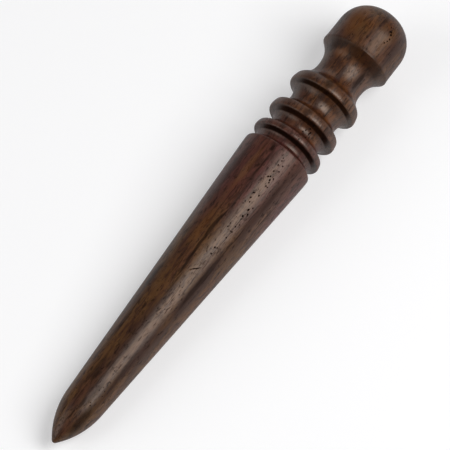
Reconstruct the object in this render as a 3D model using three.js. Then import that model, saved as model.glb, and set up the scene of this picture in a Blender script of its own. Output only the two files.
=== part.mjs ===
// A turned wooden edge slicker: one stick of dark hardwood with a blunt point, a long straight taper,
// a sharp shoulder, three beads, a waisted neck and a round knob.
//
// Millimetres, +Z up. The stick lies as it rests on a table: the underside of the taper is on z = 0,
// the point is towards -X and the knob towards +X, and the origin is at the bottom centre of its
// bounding box. Stations run along the turning axis from the tip of the point.

import * as THREE from 'three';

// Driving dimensions.
const LENGTH = 165;
const NOSE_RADIUS = 0.9;
const POINT_END = { station: 15.3, radius: 6.2 };
const TAPER_END = { station: 106.6, radius: 10.9 };
const SHOULDER = { station: 109.15, radius: 10.95 };
const SHOULDER_CORNER = { station: 109.85, radius: 10.4 };
const BEAD_RADIUS = 11.15;
const NECK = { station: 140.2, radius: 7.5 };
const RIM = { station: 147.7, radius: 10.92 };
const KNOB_SIDE = { station: 149.4, radius: 10.88 };
const DOME_START = { station: 155.2, radius: 10.83 };

// Each bead rises steeply out of the groove in front of it, on the side towards the point, and falls
// away from its back edge into the next groove. The neck is the last of these grooves.
const BEADS = [
  { groove: { station: 111.1, radius: 8.9 }, front: { station: 113.45, radius: 10.75 },
    back: { station: 115.4, radius: 10.93 } },
  { groove: { station: 118.1, radius: 8.05 }, front: { station: 120.85, radius: 10.7 },
    back: { station: 123.5, radius: 10.88 } },
  { groove: { station: 126.8, radius: 8.0 }, front: { station: 131.1, radius: 10.7 },
    back: { station: 133.8, radius: 10.8 } },
];

// How finely the turned outline and its revolution are divided.
const SEGMENTS = 32;
const STEPS = { nose: 3, point: 8, soft: 2, small: 3, crown: 4, curve: 5, dome: 9 };

const WOOD = new THREE.MeshStandardMaterial({ color: 0x4b3226, roughness: 0.42, metalness: 0 });
WOOD.name = 'rosewood';

// A place on the outline: x is the radius and y is the station, as a lathe profile needs.
function at(station, radius) {
  return new THREE.Vector2(radius, station);
}

function bezierTo(outline, first, second, end) {
  outline.curves.push(new THREE.CubicBezierCurve(outline.currentPoint.clone(), first, second, end));
  outline.currentPoint.copy(end);
}

// From the floor of a groove, along it and then ever more steeply up to an edge.
function climb(outline, floor, top, reach = 0.55, lean = 0.13, rise = 0.6) {
  const run = top.station - floor.station;
  const height = top.radius - floor.radius;
  bezierTo(
    outline,
    at(floor.station + reach * run, floor.radius),
    at(top.station - lean * run, top.radius - rise * height),
    at(top.station, top.radius),
  );
}

// Over the rounded top of a bead, fullest just behind its front edge.
function crown(outline, front, back) {
  const width = back.station - front.station;
  bezierTo(
    outline,
    at(front.station + 0.06 * width, BEAD_RADIUS + 0.2),
    at(back.station - 0.45 * width, BEAD_RADIUS + 0.05),
    at(back.station, back.radius),
  );
}

// From an edge down into a groove, level where it meets the floor.
function fall(outline, top, floor, lead = 0.26, drop = 0.13, reach = 0.75) {
  const run = floor.station - top.station;
  const depth = top.radius - floor.radius;
  bezierTo(
    outline,
    at(top.station + lead * run, top.radius - drop * depth),
    at(floor.station - reach * run, floor.radius),
    at(floor.station, floor.radius),
  );
}

// The slope of the straight taper, as an angle from the axis.
const taperAngle = Math.atan2(
  TAPER_END.radius - POINT_END.radius,
  TAPER_END.station - POINT_END.station,
);

// The rounded point is two arcs: the blunt nose, and a long ogive that runs tangent to both the nose
// and the taper. That tangency fixes the ogive's radius and its centre.
function ogiveCircle() {
  const { station, radius } = POINT_END;
  const sin = Math.sin(taperAngle);
  const cos = Math.cos(taperAngle);
  const squares = radius ** 2 + station ** 2 - 2 * NOSE_RADIUS * station;
  const offset = radius * cos - station * sin - NOSE_RADIUS * (1 - sin);
  const size = squares / (2 * offset);
  return { size, station: station + size * sin, radius: radius - size * cos };
}

// The outline as separate curves, each with the number of steps that it is divided into.
function outlinePoints() {
  const outline = new THREE.CurvePath();
  outline.currentPoint = at(POINT_END.station, POINT_END.radius);
  const steps = [];
  const add = (count, draw) => {
    draw();
    steps.push(count);
  };

  const ogive = ogiveCircle();
  const meeting = Math.atan2(NOSE_RADIUS - ogive.station, -ogive.radius);
  const quarter = Math.PI / 2;
  add(STEPS.nose, () => outline.curves.push(
    new THREE.EllipseCurve(0, NOSE_RADIUS, NOSE_RADIUS, NOSE_RADIUS, -quarter, meeting),
  ));
  add(STEPS.point, () => outline.curves.push(
    new THREE.EllipseCurve(ogive.radius, ogive.station, ogive.size, ogive.size, meeting, -taperAngle),
  ));
  add(1, () => outline.curves.push(new THREE.LineCurve(
    outline.currentPoint.clone(), at(TAPER_END.station, TAPER_END.radius),
  )));
  outline.currentPoint.copy(at(TAPER_END.station, TAPER_END.radius));

  add(STEPS.soft, () => bezierTo(
    outline, at(107.5, 10.95), at(108.7, 10.97), at(SHOULDER.station, SHOULDER.radius),
  ));
  add(STEPS.small, () => bezierTo(
    outline, at(109.55, 10.93), at(109.65, 10.7), at(SHOULDER_CORNER.station, SHOULDER_CORNER.radius),
  ));
  add(STEPS.small, () => fall(outline, SHOULDER_CORNER, BEADS[0].groove, 0.33, 0.6, 0.4));

  const hollows = [...BEADS.map((bead) => bead.groove), NECK];
  BEADS.forEach(({ groove, front, back }, index) => {
    add(STEPS.curve, () => climb(outline, groove, front));
    add(STEPS.crown, () => crown(outline, front, back));
    add(STEPS.curve, () => fall(outline, back, hollows[index + 1]));
  });

  add(STEPS.curve, () => climb(outline, NECK, RIM, 0.49, 0.27, 0.64));
  add(STEPS.small, () => bezierTo(
    outline, at(148, 11.05), at(148.3, 10.92), at(KNOB_SIDE.station, KNOB_SIDE.radius),
  ));
  add(STEPS.soft, () => bezierTo(
    outline, at(151, 10.86), at(153, 10.83), at(DOME_START.station, DOME_START.radius),
  ));
  add(STEPS.dome, () => bezierTo(
    outline, at(161.3, 10.83), at(LENGTH, 6.1), at(LENGTH, 0),
  ));

  const points = outline.curves.flatMap((curve, index) => curve.getPoints(steps[index]).slice(1));
  return [at(0, 0), ...points];
}

function turnedStick() {
  // Widened so that the middle of each flat, not each corner, lies on the turned surface.
  const widen = 1 / Math.cos(Math.PI / SEGMENTS);
  const points = outlinePoints().map(({ x, y }) => new THREE.Vector2(x * widen, y));
  // Started half a segment round, so that a flat faces straight down.
  const geometry = new THREE.LatheGeometry(points, SEGMENTS, Math.PI / SEGMENTS);
  const mesh = new THREE.Mesh(geometry, WOOD);
  mesh.name = 'slicker_body';
  mesh.rotation.z = -Math.PI / 2;
  return mesh;
}

// The axis is tipped up by the taper's own angle, so that the underside of the taper is level.
const tilted = new THREE.Group();
tilted.rotation.y = -taperAngle;
tilted.add(turnedStick());

const slicker = new THREE.Group();
slicker.add(tilted);
const box = new THREE.Box3().setFromObject(slicker, true);
tilted.position.set(-(box.min.x + box.max.x) / 2, 0, -box.min.z);

export default slicker;
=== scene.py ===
# A turned wooden edge slicker: one stick of dark rosewood with a blunt point, a long straight taper,
# a sharp shoulder, three beads, a waisted neck and a round knob, lying on a pale floor.
#
# Everything is in metres and +Z up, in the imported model's frame. The outline is drawn in millimetres
# along the turning axis, as it is in the CAD source.

import math

import bpy
from mathutils import Matrix, Vector

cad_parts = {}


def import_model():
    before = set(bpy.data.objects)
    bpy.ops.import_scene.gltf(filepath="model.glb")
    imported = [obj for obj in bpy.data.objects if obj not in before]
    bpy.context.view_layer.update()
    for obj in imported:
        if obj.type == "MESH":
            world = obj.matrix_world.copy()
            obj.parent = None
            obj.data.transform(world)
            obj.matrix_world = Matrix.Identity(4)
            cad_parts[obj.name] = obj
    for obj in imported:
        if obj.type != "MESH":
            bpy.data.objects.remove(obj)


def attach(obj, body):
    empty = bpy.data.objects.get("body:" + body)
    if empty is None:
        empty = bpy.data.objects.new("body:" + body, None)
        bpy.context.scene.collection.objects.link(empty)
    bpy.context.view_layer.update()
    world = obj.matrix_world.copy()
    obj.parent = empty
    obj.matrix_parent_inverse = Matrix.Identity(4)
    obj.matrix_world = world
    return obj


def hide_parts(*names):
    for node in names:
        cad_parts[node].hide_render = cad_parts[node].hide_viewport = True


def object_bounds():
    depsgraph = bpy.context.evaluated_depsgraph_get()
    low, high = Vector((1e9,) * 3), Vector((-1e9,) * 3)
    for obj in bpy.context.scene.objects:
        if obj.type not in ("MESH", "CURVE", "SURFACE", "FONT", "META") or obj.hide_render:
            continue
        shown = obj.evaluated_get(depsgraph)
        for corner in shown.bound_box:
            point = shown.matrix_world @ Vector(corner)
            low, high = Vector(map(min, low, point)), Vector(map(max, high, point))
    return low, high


MM = 0.001

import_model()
cad_low, cad_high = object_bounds()


# ---------------------------------------------------------------- the turned outline, as in the CAD

LENGTH = 165
NOSE_RADIUS = 0.9
POINT_END = (15.3, 6.2)
TAPER_END = (106.6, 10.9)
SHOULDER = (109.15, 10.95)
SHOULDER_CORNER = (109.85, 10.4)
BEAD_RADIUS = 11.15
NECK = (140.2, 7.5)
RIM = (147.7, 10.92)
KNOB_SIDE = (149.4, 10.88)
DOME_START = (155.2, 10.83)

# The groove in front of each bead, and the bead's front and back edges.
BEADS = [
    {"groove": (111.1, 8.9), "front": (113.45, 10.75), "back": (115.4, 10.93)},
    {"groove": (118.1, 8.05), "front": (120.85, 10.7), "back": (123.5, 10.88)},
    {"groove": (126.8, 8.0), "front": (131.1, 10.7), "back": (133.8, 10.8)},
]

# How finely the surface is divided: round the axis, and along each kind of curve in the outline.
SEGMENTS = 224
STEPS = {"nose": 8, "point": 36, "taper": 96, "small": 7, "curve": 18, "crown": 12, "dome": 40}

TAPER_ANGLE = math.atan2(TAPER_END[1] - POINT_END[1], TAPER_END[0] - POINT_END[0])


def arc(centre, radius, start, end, steps):
    """Points on a circle after its first one. An angle of -90 degrees points back along the axis."""
    points = []
    for step in range(1, steps + 1):
        angle = start + (end - start) * step / steps
        points.append((centre[0] + radius * math.sin(angle), centre[1] + radius * math.cos(angle)))
    return points


def bezier(start, first, second, end, steps):
    """Points on a cubic curve after its first one."""
    points = []
    for step in range(1, steps + 1):
        t = step / steps
        weights = ((1 - t) ** 3, 3 * t * (1 - t) ** 2, 3 * t ** 2 * (1 - t), t ** 3)
        corners = (start, first, second, end)
        points.append(tuple(sum(w * c[i] for w, c in zip(weights, corners)) for i in (0, 1)))
    return points


def climb(floor, top, steps, reach=0.55, lean=0.13, rise=0.6):
    """From the floor of a groove, along it and then ever more steeply up to an edge."""
    run, height = top[0] - floor[0], top[1] - floor[1]
    first = (floor[0] + reach * run, floor[1])
    second = (top[0] - lean * run, top[1] - rise * height)
    return bezier(floor, first, second, top, steps)


def crown(front, back, steps):
    """Over the rounded top of a bead, fullest just behind its front edge."""
    width = back[0] - front[0]
    first = (front[0] + 0.06 * width, BEAD_RADIUS + 0.2)
    second = (back[0] - 0.45 * width, BEAD_RADIUS + 0.05)
    return bezier(front, first, second, back, steps)


def fall(top, floor, steps, lead=0.26, drop=0.13, reach=0.75):
    """From an edge down into a groove, level where it meets the floor."""
    run, depth = floor[0] - top[0], top[1] - floor[1]
    first = (top[0] + lead * run, top[1] - drop * depth)
    second = (floor[0] - reach * run, floor[1])
    return bezier(top, first, second, floor, steps)


def outline():
    """The whole outline from the tip to the end of the knob, as (station, radius) in millimetres."""
    # The ogive runs tangent to both the nose and the taper, and that fixes its size and its centre.
    sine, cosine = math.sin(TAPER_ANGLE), math.cos(TAPER_ANGLE)
    station, radius = POINT_END
    squares = radius ** 2 + station ** 2 - 2 * NOSE_RADIUS * station
    size = squares / (2 * (radius * cosine - station * sine - NOSE_RADIUS * (1 - sine)))
    ogive = (station + size * sine, radius - size * cosine)
    meeting = math.atan2(NOSE_RADIUS - ogive[0], -ogive[1])

    points = [(0, 0)]
    points += arc((NOSE_RADIUS, 0), NOSE_RADIUS, -math.pi / 2, meeting, STEPS["nose"])
    points += arc(ogive, size, meeting, -TAPER_ANGLE, STEPS["point"])
    start = points[-1]
    for step in range(1, STEPS["taper"] + 1):
        share = step / STEPS["taper"]
        points.append(tuple(a + (b - a) * share for a, b in zip(start, TAPER_END)))

    points += bezier(TAPER_END, (107.5, 10.95), (108.7, 10.97), SHOULDER, STEPS["small"])
    points += bezier(SHOULDER, (109.55, 10.93), (109.65, 10.7), SHOULDER_CORNER, STEPS["small"])
    points += fall(SHOULDER_CORNER, BEADS[0]["groove"], STEPS["curve"], 0.33, 0.6, 0.4)
    hollows = [bead["groove"] for bead in BEADS[1:]] + [NECK]
    for bead, hollow in zip(BEADS, hollows):
        points += climb(bead["groove"], bead["front"], STEPS["curve"])
        points += crown(bead["front"], bead["back"], STEPS["crown"])
        points += fall(bead["back"], hollow, STEPS["curve"])

    points += climb(NECK, RIM, STEPS["curve"], 0.49, 0.27, 0.64)
    points += bezier(RIM, (148, 11.05), (148.3, 10.92), KNOB_SIDE, STEPS["small"])
    points += bezier(KNOB_SIDE, (151, 10.86), (153, 10.83), DOME_START, STEPS["small"])
    points += bezier(DOME_START, (161.3, 10.83), (LENGTH, 6.1), (LENGTH, 0), STEPS["dome"])
    return points


# The stick lies on the underside of its taper, so its axis rises towards the knob by the taper's angle.
# The axis meets the floor at the cone's apex, where the taper's two sides would cross.
APEX = POINT_END[0] - POINT_END[1] / math.tan(TAPER_ANGLE)
AXIS = Vector((math.cos(TAPER_ANGLE), 0, math.sin(TAPER_ANGLE)))
ACROSS = Vector((0, -1, 0))
ABOVE = ACROSS.cross(AXIS)


def lowest_x(points):
    """The lowest x of the tilted stick, in millimetres, with the middle of its tip at x = 0."""
    return min(station * AXIS.x - radius * AXIS.z for station, radius in points)


OUTLINE = outline()

# The x of the middle of the tip, in metres, which puts the stick's lowest x on the CAD box's own.
TIP_X = cad_low.x - lowest_x(OUTLINE) * MM

# The CAD's outline takes longer straight steps over its curves, so its widest and farthest places lie
# a hair inside the smooth ones. The smooth stick is drawn in by this much to stay inside the CAD's
# box: a share of the length, and millimetres off the radius.
LENGTH_SHARE = 0.9998
SKIN = 0.02


def axis_point(station):
    """A place on the turning axis, in metres in the model's frame, from its station in millimetres."""
    along = station - APEX
    return Vector((station * AXIS.x * MM + TIP_X, 0, along * AXIS.z * MM))


def turned_stick():
    """The stick's fine surface, turned round its axis."""
    vertices = [axis_point(0)]
    for station, radius in OUTLINE[1:-1]:
        centre = axis_point(station * LENGTH_SHARE)
        for segment in range(SEGMENTS):
            angle = 2 * math.pi * segment / SEGMENTS
            outward = ABOVE * math.cos(angle) - ACROSS * math.sin(angle)
            vertices.append(centre + outward * (radius - SKIN) * MM)
    vertices.append(axis_point(LENGTH * LENGTH_SHARE))

    rings = len(OUTLINE) - 2
    last = len(vertices) - 1
    faces = []
    for segment in range(SEGMENTS):
        after = (segment + 1) % SEGMENTS
        faces.append((0, 1 + after, 1 + segment))
        for ring in range(rings - 1):
            here, there = 1 + ring * SEGMENTS, 1 + (ring + 1) * SEGMENTS
            faces.append((here + segment, here + after, there + after, there + segment))
        end = 1 + (rings - 1) * SEGMENTS
        faces.append((last, end + segment, end + after))

    mesh = bpy.data.meshes.new("turned_stick")
    mesh.from_pydata([tuple(v) for v in vertices], [], faces)
    mesh.polygons.foreach_set("use_smooth", [True] * len(mesh.polygons))
    mesh.update()
    stick = bpy.data.objects.new("turned_stick", mesh)
    bpy.context.scene.collection.objects.link(stick)
    return stick


# ---------------------------------------------------------------- the wood


class Nodes:
    """Short calls for building the node tree of a material or of the world."""

    def __init__(self, owner):
        owner.use_nodes = True
        self.tree = owner.node_tree
        self.tree.nodes.clear()

    def add(self, kind, inputs=None, **settings):
        node = self.tree.nodes.new(kind)
        for name, value in settings.items():
            setattr(node, name, value)
        for name, value in (inputs or {}).items():
            self.feed(node.inputs[name], value)
        return node

    def feed(self, socket, value):
        if isinstance(value, bpy.types.NodeSocket):
            self.tree.links.new(value, socket)
        else:
            socket.default_value = value

    def math(self, operation, first, second=0.0, third=0.0, clamp=False):
        node = self.add("ShaderNodeMath", operation=operation, use_clamp=clamp)
        for index, value in enumerate((first, second, third)):
            self.feed(node.inputs[index], value)
        return node.outputs[0]

    def vector(self, operation, *values):
        node = self.add("ShaderNodeVectorMath", operation=operation)
        for index, value in enumerate(values):
            self.feed(node.inputs[index], value)
        return node.outputs[0]

    def noise(self, vector, detail, roughness):
        inputs = {"Vector": vector, "Scale": 1.0, "Detail": detail, "Roughness": roughness}
        return self.add("ShaderNodeTexNoise", inputs).outputs["Fac"]

    def scaled(self, vector, x, y, z, shift=(0, 0, 0)):
        inputs = {"Vector": vector, "Scale": (x, y, z), "Location": shift}
        return self.add("ShaderNodeMapping", inputs, vector_type="POINT").outputs[0]

    def span(self, value, low, high, start=0.0, end=1.0):
        """value as a share of the way from low to high, smoothed at both ends."""
        node = self.add("ShaderNodeMapRange", interpolation_type="SMOOTHSTEP")
        for index, item in enumerate((value, low, high, start, end)):
            self.feed(node.inputs[index], item)
        return node.outputs[0]

    def mix(self, share, first, second):
        """The first colour with this share of the second laid over it."""
        node = self.add("ShaderNodeMix", data_type="RGBA", blend_type="MIX")
        self.feed(node.inputs[0], share)
        self.feed(node.inputs[6], first)
        self.feed(node.inputs[7], second)
        return node.outputs[2]


def srgb(red, green, blue):
    """A colour given as it looks on a screen, as the linear colour that a shader takes."""
    def linear(value):
        value /= 255
        return value / 12.92 if value <= 0.04045 else ((value + 0.055) / 1.055) ** 2.4

    return (linear(red), linear(green), linear(blue), 1)


# Places in the wood are in millimetres. x is the station along the axis, and y is measured from the
# axis across the growth layers, which are rolled round the stick by this angle.
GRAIN_ROLL = math.radians(17.6)

BROWN = srgb(62, 37, 19)
GOLD = srgb(86, 56, 27)
PURPLE = srgb(80, 41, 38)
PALE = srgb(98, 68, 48)
ORANGE = srgb(98, 56, 24)
RED = srgb(44, 19, 12)
DARK = srgb(18, 9, 5)
PORE = srgb(8, 4, 3)

# Light that the fibres send back through the finish is warm.
GLOSS_TINT = (1.0, 0.87, 0.76, 1)

# Long soft patches of colour on the side that faces up: the station and y of the middle, the half
# length, the half width and the strength.
GOLD_PATCHES = [
    (44, 4.4, 30, 2.3, 0.85),
    (76, 5.0, 9, 1.6, 0.7),
    (22, -1.5, 14, 1.4, 0.25),
    (157, 5.0, 10, 5.0, 0.95),
    (155, -3.6, 7, 1.7, 0.9),
]

PALE_AND_HIGHLIGHT_PATCHES = [
    # The first three lie along the main lamp's highlight on the taper: a painted highlight.
    (50, -1.4, 22, 1.6, 0.6),
    (76, -1.3, 14, 1.5, 0.6),
    (93, -1.5, 17, 1.9, 0.7),
    (99, 5.2, 8, 1.4, 0.5),
    (88, -7.3, 9, 0.9, 0.6),
]

ORANGE_PATCHES = [
    (134, -1.0, 26, 9.0, 0.5),
    (156, 2.9, 4, 1.9, 0.7),
    (160, -2.1, 2.5, 1.9, 0.8),
    (118.5, -5.0, 3, 2.5, 0.8),
    (126.5, -4.5, 3, 2.2, 0.9),
    (135.5, -2.8, 3.5, 2.2, 0.9),
    (134, 3.5, 4, 1.5, 0.6),
    (60, -7.4, 14, 1.0, 0.4),
]

RED_PATCHES = [
    (91, -5.8, 22, 1.9, 0.8),
    (102, -6.8, 9, 1.5, 0.6),
    (60, -5.0, 20, 2.3, 0.95),
    (38, -5.2, 18, 1.5, 0.85),
    (34, -3.4, 18, 1.7, 0.9),
    (40, 0.5, 26, 1.3, 0.8),
    (18, 0.2, 10, 1.3, 0.85),
    (90, 1.85, 12, 0.5, 0.8),
    (128, 0.9, 5, 1.2, 0.8),
    (138.5, 0.8, 6, 1.1, 0.8),
    (140.5, -4.6, 6, 1.7, 0.8),
    (123, -6.4, 3, 1.5, 0.7),
    (155, -7.1, 10, 1.9, 0.9),
]

DARK_AND_SHADE_PATCHES = [
    (57.5, 1.2, 6, 0.4, 0.7),
    (63.5, 1.8, 5, 0.45, 0.95),
    (68, 2.2, 5, 0.55, 1.0),
    (72.5, 2.45, 5, 0.6, 1.0),
    (76.5, 2.65, 5, 0.75, 1.0),
    (80, 2.4, 3.5, 0.8, 1.0),
    (82.6, 2.0, 2.5, 0.4, 1.0),
    (101, 2.4, 6, 0.5, 0.85),
    (106.9, 2.85, 1.9, 0.7, 1.0),
    (12.3, 0.4, 3.2, 0.8, 0.8),
    (21.5, 2.4, 2.6, 0.7, 0.7),
    (26.1, 1.4, 2, 0.7, 0.7),
    (24, 3.4, 9, 0.7, 0.5),
    # Near the point: the wood's darker tip, and painted shade that dims the lamp's highlight there.
    (8, -2.6, 9, 1.9, 0.9),
    (17, -0.8, 7, 0.9, 0.6),
    (20, -3.0, 14, 1.6, 0.5),
    (62, -4.6, 14, 0.9, 0.75),
    (30, -2.9, 9, 0.6, 0.5),
    (96, -5.9, 10, 0.7, 0.4),
    (57, 7.1, 9, 0.9, 0.85),
    (95, 8.6, 16, 1.3, 0.65),
    # Over the crowns and backs of the three beads, away from the main lamp: painted shade.
    (115, 4.3, 1.8, 1.8, 0.7),
    (122.4, 1.4, 2.8, 1.9, 0.8),
    (133, 1.7, 2.4, 2.2, 0.9),
    # On the neck and the flare, which face the point and get little light: painted shade.
    (141.5, -4.6, 4.5, 0.8, 0.9),
    (145.6, 7.6, 3, 1.3, 0.8),
    (146.0, 1.3, 3, 1.7, 0.85),
    (146.0, -5.6, 3.2, 5.0, 0.9),
    (160.5, 0.2, 3, 0.9, 0.6),
]

# Places that are brought out again, in orange, after the dark grain is laid over them. Most are the
# wood's own colour; the one on the knob is painted sheen, and the one on the flare under the rim is
# a painted highlight.
LIFT_AND_SHEEN_PATCHES = [
    # Painted sheen on the side of the knob that faces the side lamp.
    (157, 7.0, 11, 3.4, 0.55),
    (154, -3.6, 6, 1.2, 0.4),
    # A painted highlight on the flare under the rim, where the side lamp is reflected.
    (144.6, 4.6, 2.2, 2.2, 0.65),
    (98, 5.0, 12, 1.2, 0.3),
    (76, 5.0, 9, 1.3, 0.35),
]

# Bands round the stick that darken it. They are partly end grain, where the steep faces of the
# shoulder, the beads and the flare cut across the grain, and partly painted shade: in the crease at
# the shoulder, in the grooves, behind the bead crests, along the rim and on the faces that turn to
# the point, away from the light. The station of the middle, the half width and the strength.
END_GRAIN_AND_SHADE = [
    (113.05, 0.75, 0.95),
    (112.2, 1.1, 0.3),
    (120.5, 0.8, 0.85),
    (119.6, 1.2, 0.3),
    (130.8, 0.75, 0.85),
    (129.6, 1.6, 0.3),
    (146.3, 2.7, 0.6),
    (147.5, 0.35, 0.55),
    (109.9, 0.45, 0.75),
    (116.2, 0.9, 0.45),
    (124.3, 1.1, 0.4),
    (135.0, 1.2, 0.35),
]

# The share of a band's half width that is as dark as its middle. The bands are paler on the sides of
# the stick, where more light reaches the steep faces and less shade is painted: how far from the axis
# that begins and ends, and the share of the darkness that is left.
BAND_CORE = 0.25
BAND_SIDES = (6.5, 10.5, 0.5)

# Where the pores are large and close together, as patches.
PORE_PATCHES = [
    (88, -1.6, 34, 2.6, 1.0),
    (58, -1.0, 30, 2.2, 0.6),
    (20, -1.5, 14, 2.0, 0.7),
    (116, -2.0, 8, 2.4, 0.8),
    (157, -3.4, 6, 2.2, 1.0),
    (158, 4.5, 6, 2.5, 0.5),
    (148, 5.5, 4, 2.0, 0.7),
]

# Every patch has its middle this far above the axis, and this half depth, so it fades out before it
# reaches the underside.
PATCH_MIDDLE = 8
PATCH_DEPTH = 13

# The share of a patch's half sizes over which it has its full strength.
PATCH_CORE = 0.4

# One scratch: its station, its y and its slant in degrees, then its half length and half width, and
# the share of them over which it has its full strength.
SCRATCH = (64.6, -1.0, 42)
SCRATCH_SIZE = (2.3, 0.2)
SCRATCH_CORE = 0.5

# How soft the edge of a pore is, as a share of a cell in the net that places the pores.
SPECK_EDGE = 0.07

# The depth of the surface's fine relief, in millimetres, and the share of it that shows.
RELIEF_DEPTH = 0.12
RELIEF_SHARE = 0.5


def wood_places(make):
    """Coordinates in the wood: millimetres, with x the station and y across the growth layers."""
    turn = Matrix.Rotation(-GRAIN_ROLL, 3, "X") @ Matrix.Rotation(TAPER_ANGLE, 3, "Y")
    place = make.add("ShaderNodeTexCoord").outputs["Object"]
    inputs = {
        "Vector": place, "Scale": (1 / MM,) * 3,
        "Rotation": turn.to_euler(), "Location": turn @ axis_point(0) / -MM,
    }
    return make.add("ShaderNodeMapping", inputs, vector_type="POINT").outputs[0]


def wander(make, places, scale, amount):
    """The same places, each moved by up to half of amount in each direction."""
    noise = make.add(
        "ShaderNodeTexNoise",
        {"Vector": make.scaled(places, *scale), "Scale": 1.0, "Detail": 3.0, "Roughness": 0.6},
    ).outputs["Color"]
    back = make.vector("ADD", places, tuple(-0.5 * value for value in amount))
    return make.vector("MULTIPLY_ADD", noise, amount, back)


def patches(make, places, listed):
    """How strongly the listed patches colour a place."""
    strongest = 0.0
    for station, across, length, width, strength in listed:
        shift = (-station / length, -across / width, -PATCH_MIDDLE / PATCH_DEPTH)
        local = make.scaled(places, 1 / length, 1 / width, 1 / PATCH_DEPTH, shift)
        away = make.add("ShaderNodeVectorMath", {0: local}, operation="LENGTH").outputs["Value"]
        patch = make.span(away, PATCH_CORE, 1.0, strength, 0.0)
        strongest = make.math("MAXIMUM", strongest, patch)
    return strongest


def bands(make, station, listed):
    """How strongly the listed bands round the stick darken a place."""
    strongest = 0.0
    for middle, width, strength in listed:
        away = make.math("ABSOLUTE", make.math("SUBTRACT", station, middle))
        band = make.span(away, BAND_CORE * width, width, strength, 0.0)
        strongest = make.math("MAXIMUM", strongest, band)
    return strongest


def specks(make, places, scale, size):
    """1 in small lens-shaped specks, at most one in each cell of a random net, and 0 between them."""
    net = make.add(
        "ShaderNodeTexVoronoi",
        {"Vector": make.scaled(places, *scale), "Scale": 1.0, "Randomness": 1.0},
        feature="F1",
    )
    inside = make.math("SUBTRACT", size, net.outputs["Distance"])
    return make.span(inside, 0.0, SPECK_EDGE, 0.0, 1.0)


def scratch(make, places):
    """1 along one thin slanting scratch on the taper."""
    station, across, slant = SCRATCH
    moved = make.scaled(places, 1, 1, 1, (-station, -across, 0))
    inputs = {"Vector": moved, "Rotation": (0, 0, math.radians(slant))}
    turned = make.add("ShaderNodeMapping", inputs, vector_type="POINT").outputs[0]
    middle = (0, 0, -PATCH_MIDDLE / PATCH_DEPTH)
    local = make.scaled(turned, 1 / SCRATCH_SIZE[0], 1 / SCRATCH_SIZE[1], 1 / PATCH_DEPTH, middle)
    away = make.add("ShaderNodeVectorMath", {0: local}, operation="LENGTH").outputs["Value"]
    return make.span(away, SCRATCH_CORE, 1.0, 1.0, 0.0)


def light_wood(make, bent, station):
    """The colour of the wood and a painted highlight, before the dark grain and pores are laid over it.
    """
    broad = make.noise(make.scaled(bent, 0.03, 0.16, 0.09), 3.0, 0.55)
    second = make.noise(make.scaled(bent, 0.045, 0.3, 0.2, (7, 3, 5)), 3.0, 0.6)
    figure = make.noise(make.scaled(bent, 0.16, 0.9, 0.7, (5, 2, 6)), 5.0, 0.68)

    # The wood turns purple towards the end of the taper, and almost back again across the beads.
    rising = make.span(station, 74, 96, 0.0, 0.75)
    falling = make.span(station, 112, 128, 0.0, -0.6)
    purplish = make.math("ADD", rising, falling)
    purplish = make.math("ADD", purplish, make.span(second, 0.45, 0.7, 0.0, 0.35), clamp=True)

    colour = make.mix(make.span(broad, 0.35, 0.65), BROWN, GOLD)
    colour = make.mix(purplish, colour, PURPLE)
    colour = make.mix(patches(make, bent, GOLD_PATCHES), colour, GOLD)
    colour = make.mix(patches(make, bent, PALE_AND_HIGHLIGHT_PATCHES), colour, PALE)
    colour = make.mix(patches(make, bent, ORANGE_PATCHES), colour, ORANGE)
    colour = make.mix(make.span(figure, 0.42, 0.28, 0.0, 0.6), colour, PALE)
    colour = make.mix(make.span(figure, 0.47, 0.62, 0.0, 0.8), colour, RED)
    return make.mix(patches(make, bent, RED_PATCHES), colour, RED)


def end_grain_and_shade(make, station, across):
    """How strongly end grain and painted shade darken a place, less on the sides of the stick."""
    start, end, left = BAND_SIDES
    sides = make.span(make.math("ABSOLUTE", across), start, end, 1.0, left)
    return make.math("MULTIPLY", bands(make, station, END_GRAIN_AND_SHADE), sides)


def darkness(make, bent, fibres, mottle, flanks):
    """How dark the dark and shaded patches, the streaks, the mottle, the end grain and painted shade
    make a place.
    """
    streaks = make.noise(make.scaled(bent, 0.035, 1.3, 0.5, (2, 9, 4)), 4.0, 0.62)
    broken = make.span(fibres, 0.3, 0.55, 1.0, 0.7)
    dark = make.math("MULTIPLY", patches(make, bent, DARK_AND_SHADE_PATCHES), broken)
    dark = make.math("MAXIMUM", dark, make.span(streaks, 0.54, 0.7, 0.0, 0.75))
    dark = make.math("MAXIMUM", dark, make.span(mottle, 0.52, 0.65, 0.0, 0.65))
    return make.math("MAXIMUM", dark, flanks)


def open_marks(make, places):
    """1 in the large pores and the scratch, half in the thin dashes along the grain, and 0 between."""
    crowd = make.noise(make.scaled(places, 0.12, 0.45, 0.3, (3, 7, 1)), 2.0, 0.6)
    jostled = wander(make, places, (0.9, 1.1, 1.1), (0.7, 0.5, 0.5))
    least = make.span(crowd, 0.45, 0.7, 0.0, 0.14)
    size = make.math("MULTIPLY_ADD", patches(make, places, PORE_PATCHES), 0.27, least)
    pores = specks(make, jostled, (0.8, 1.0, 1.0), size)
    dashes = specks(make, jostled, (0.2, 1.5, 1.5), make.span(crowd, 0.62, 0.4, 0.06, 0.24))
    marks = make.math("MAXIMUM", pores, make.math("MULTIPLY", dashes, 0.5))
    bowed = wander(make, places, (0.15, 0.15, 0.15), (0, 0.9, 0))
    return make.math("MAXIMUM", marks, scratch(make, bowed))


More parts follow.
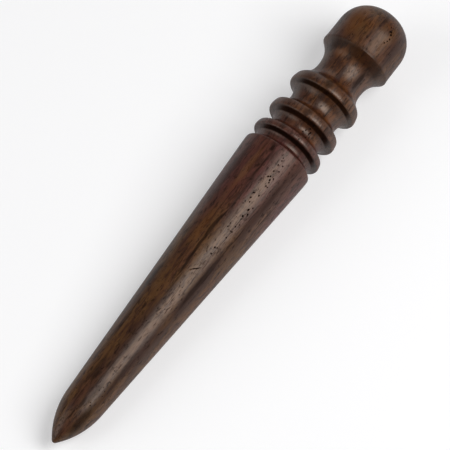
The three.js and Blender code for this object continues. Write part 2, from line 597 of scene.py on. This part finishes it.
def shine(make, station, marks, dark, flanks):
    """How much light the finish sends back.

    Open pores, end grain, painted shade and dark streaks shine less, and so does everything seen edge
    on.
    """
    dull = make.math("MAXIMUM", marks, make.math("MULTIPLY", dark, 0.85))
    dull = make.math("MAXIMUM", dull, make.span(flanks, 0.15, 0.8))
    edge = make.add("ShaderNodeLayerWeight", {"Blend": 0.5}).outputs["Facing"]
    dull = make.math("MAXIMUM", dull, make.span(edge, 0.25, 0.8, 0.0, 0.85))
    beads = make.span(station, 109, 113, 0.45, 0.6)
    knob = make.span(station, 143, 151, 0.0, -0.2)
    gloss = make.math("ADD", beads, knob)
    kept = make.math("SUBTRACT", 1.0, make.math("MULTIPLY", dull, 0.98))
    return make.math("MULTIPLY", gloss, kept)


def relief(make, places, fibres, mottle, marks):
    """The height of the surface's fine relief: turning marks, fibres, mottle and open pores."""
    rings = make.noise(make.scaled(places, 2.6, 0.02, 0.02), 2.0, 0.6)
    height = make.math("MULTIPLY_ADD", rings, 0.2, make.math("MULTIPLY", fibres, 0.6))
    height = make.math("MULTIPLY_ADD", mottle, -0.5, height)
    return make.math("MULTIPLY_ADD", marks, -1.0, height)


def wood():
    """Oiled rosewood: grain figure, end grain and painted shade on steep faces, painted highlights,
    open pores.
    """
    material = bpy.data.materials.new("rosewood")
    make = Nodes(material)
    places = wood_places(make)
    split = make.add("ShaderNodeSeparateXYZ", {"Vector": places})
    station, across = split.outputs["X"], split.outputs["Y"]
    bent = wander(make, places, (0.11, 0.5, 0.3), (5, 1.1, 2))
    fibres = make.noise(make.scaled(places, 0.22, 4.5, 4.0), 4.0, 0.7)
    mottle = make.noise(make.scaled(bent, 0.4, 1.0, 1.0, (1, 6, 8)), 5.0, 0.7)

    flanks = end_grain_and_shade(make, station, across)
    dark = darkness(make, bent, fibres, mottle, flanks)
    marks = open_marks(make, places)
    colour = light_wood(make, bent, station)
    colour = make.mix(make.span(fibres, 0.48, 0.68, 0.0, 0.6), colour, RED)
    colour = make.mix(dark, colour, DARK)
    colour = make.mix(patches(make, bent, LIFT_AND_SHEEN_PATCHES), colour, ORANGE)
    colour = make.mix(make.math("MULTIPLY", marks, 0.92), colour, PORE)

    satin = make.span(mottle, 0.3, 0.7, 0.32, 0.41)
    roughness = make.math("ADD", satin, make.math("MULTIPLY", marks, 0.2))
    height = relief(make, places, fibres, mottle, marks)
    inputs = {"Strength": RELIEF_SHARE, "Distance": RELIEF_DEPTH * MM, "Height": height}
    bump = make.add("ShaderNodeBump", inputs)

    shader = make.add(
        "ShaderNodeBsdfPrincipled",
        {
            "Base Color": colour, "Roughness": roughness,
            "Specular IOR Level": shine(make, station, marks, dark, flanks),
            "Specular Tint": GLOSS_TINT, "Normal": bump.outputs[0],
        },
    )
    make.add("ShaderNodeOutputMaterial", {"Surface": shader.outputs[0]})
    return material


# ---------------------------------------------------------------- floor, light and camera

# The floor's width in metres, its colour, and how strongly it glows.
FLOOR_SIZE = 12
FLOOR_COLOUR = (0.7, 0.7, 0.705, 1)
FLOOR_GLOW = 0.5

# The lamps face the middle of the stick from this far away, in metres.
MIDDLE = axis_point(LENGTH / 2)
LAMP_DISTANCE = 0.8


def floor():
    """A large sheet of pale paper at z = 0, which glows a little so that it looks evenly lit."""
    half = FLOOR_SIZE / 2
    mesh = bpy.data.meshes.new("floor")
    corners = [(-half, -half, 0), (half, -half, 0), (half, half, 0), (-half, half, 0)]
    mesh.from_pydata(corners, [], [(0, 1, 2, 3)])
    plane = bpy.data.objects.new("floor", mesh)
    bpy.context.scene.collection.objects.link(plane)
    material = bpy.data.materials.new("floor_paper")
    make = Nodes(material)
    shader = make.add(
        "ShaderNodeBsdfPrincipled",
        {
            "Base Color": FLOOR_COLOUR, "Roughness": 0.9, "Specular IOR Level": 0.1,
            "Emission Color": FLOOR_COLOUR, "Emission Strength": FLOOR_GLOW,
        },
    )
    make.add("ShaderNodeOutputMaterial", {"Surface": shader.outputs[0]})
    mesh.materials.append(material)
    return plane


def softbox(name, turn, reach, across, along, radiance):
    """A flat lamp facing the stick. All four angles are in degrees.

    turn is how far round the stick it stands from straight above, reach how far along the stick from
    square to it, and across and along are the angles that it fills, seen from the stick.
    """
    turn, reach = math.radians(turn), math.radians(reach)
    square = ABOVE * math.cos(turn) + ACROSS * math.sin(turn)
    direction = square * math.cos(reach) + AXIS * math.sin(reach)
    lengthwise = AXIS * math.cos(reach) - square * math.sin(reach)
    lamp = bpy.data.lights.new(name, "AREA")
    lamp.shape = "RECTANGLE"
    lamp.size = 2 * LAMP_DISTANCE * math.tan(math.radians(along) / 2)
    lamp.size_y = 2 * LAMP_DISTANCE * math.tan(math.radians(across) / 2)
    lamp.energy = radiance * math.pi * lamp.size * lamp.size_y
    holder = bpy.data.objects.new(name, lamp)
    rotation = Matrix((lengthwise, direction.cross(lengthwise), direction)).transposed()
    place = MIDDLE + direction * LAMP_DISTANCE
    holder.matrix_world = Matrix.Translation(place) @ rotation.to_4x4()
    holder.visible_camera = False
    bpy.context.scene.collection.objects.link(holder)


def world(overhead, horizon):
    """Dark overhead and pale towards the horizon, as in a studio with a white sweep."""
    sky = bpy.data.worlds.new("studio")
    bpy.context.scene.world = sky
    make = Nodes(sky)
    direction = make.add("ShaderNodeTexCoord").outputs["Generated"]
    height = make.add("ShaderNodeSeparateXYZ", {"Vector": direction}).outputs["Z"]
    glow = make.span(height, 0.0, 0.12, horizon, overhead)
    backdrop = make.add("ShaderNodeBackground", {"Color": (1, 1, 1, 1), "Strength": glow})
    make.add("ShaderNodeOutputWorld", {"Surface": backdrop.outputs[0]})


# The camera looks down the stick from above its point. The middle of the picture is a place on the
# axis, moved to the right and up by these many millimetres. VIEW_WIDTH is how many millimetres the
# picture spans there, and the lens and its sensor are in millimetres too.
VIEW_FROM = Vector((-0.3954, -0.2827, 0.8740)).normalized()
AIM_STATION = 90.7
AIM_RIGHT = -3.99
AIM_UP = -5.12
LENS = 1200
SENSOR = 36
VIEW_WIDTH = 128.34


def camera():
    """A long lens from far away, so that the view has almost no perspective."""
    eye = bpy.data.cameras.new("camera")
    eye.lens = LENS
    eye.sensor_width = SENSOR
    holder = bpy.data.objects.new("camera", eye)
    right = Vector((0, 0, 1)).cross(VIEW_FROM).normalized()
    up = VIEW_FROM.cross(right)
    aim = axis_point(AIM_STATION) + (right * AIM_RIGHT + up * AIM_UP) * MM
    distance = VIEW_WIDTH * MM * LENS / SENSOR
    rotation = Matrix((right, up, VIEW_FROM)).transposed()
    holder.matrix_world = Matrix.Translation(aim + VIEW_FROM * distance) @ rotation.to_4x4()
    bpy.context.scene.collection.objects.link(holder)
    bpy.context.scene.camera = holder


camera()
floor()
world(overhead=0.14, horizon=0.26)
softbox("main_softbox", turn=38.5, reach=13, across=41, along=34, radiance=5.6)
softbox("side_softbox", turn=-45, reach=-37, across=45, along=35, radiance=2.1)
softbox("back_softbox", turn=-40, reach=58, across=45, along=30, radiance=0.8)

bpy.context.scene.view_settings.view_transform = "Standard"

stick = turned_stick()
stick.data.materials.append(wood())
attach(stick, "root")
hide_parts("slicker_body")
